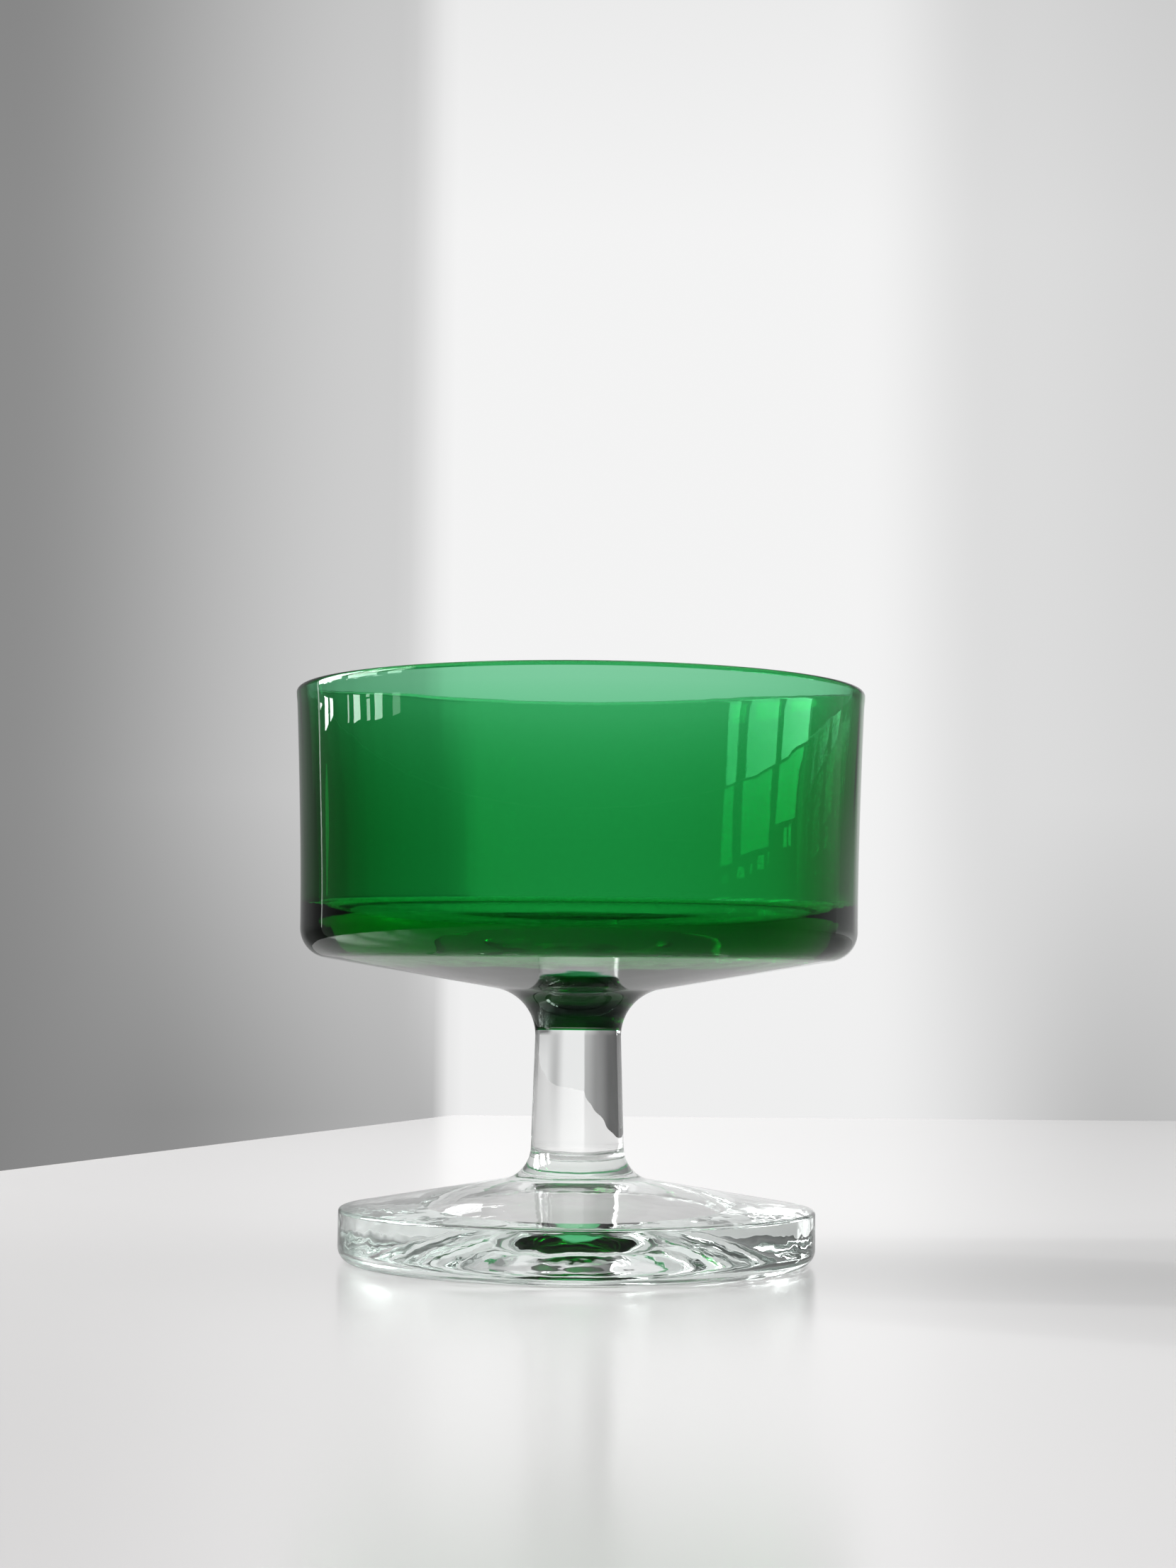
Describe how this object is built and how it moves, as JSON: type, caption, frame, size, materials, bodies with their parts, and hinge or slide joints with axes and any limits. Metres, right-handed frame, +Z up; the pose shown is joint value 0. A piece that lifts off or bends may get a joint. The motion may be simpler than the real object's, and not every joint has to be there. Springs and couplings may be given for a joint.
{
  "type": "champagne glass",
  "caption": "Champagne coupe with a straight-sided green glass bowl and neck, fused to a clear stem on a heavy clear round foot.",
  "frame": {"origin": "centre of the ring under the foot that the glass stands on", "axes": "+Z up along the glass's axis of symmetry, X and Y across it in any direction"},
  "size_m": [0.085, 0.085, 0.0847],
  "materials": {
    "green_glass": "smooth, fire-polished, tinted through",
    "clear_glass": "smooth, faintly wavy pressed surface"
  },
  "bodies": {
    "root": {"bowl": "green_glass", "stem": "clear_glass", "foot": "clear_glass"}
  },
  "joints": []
}
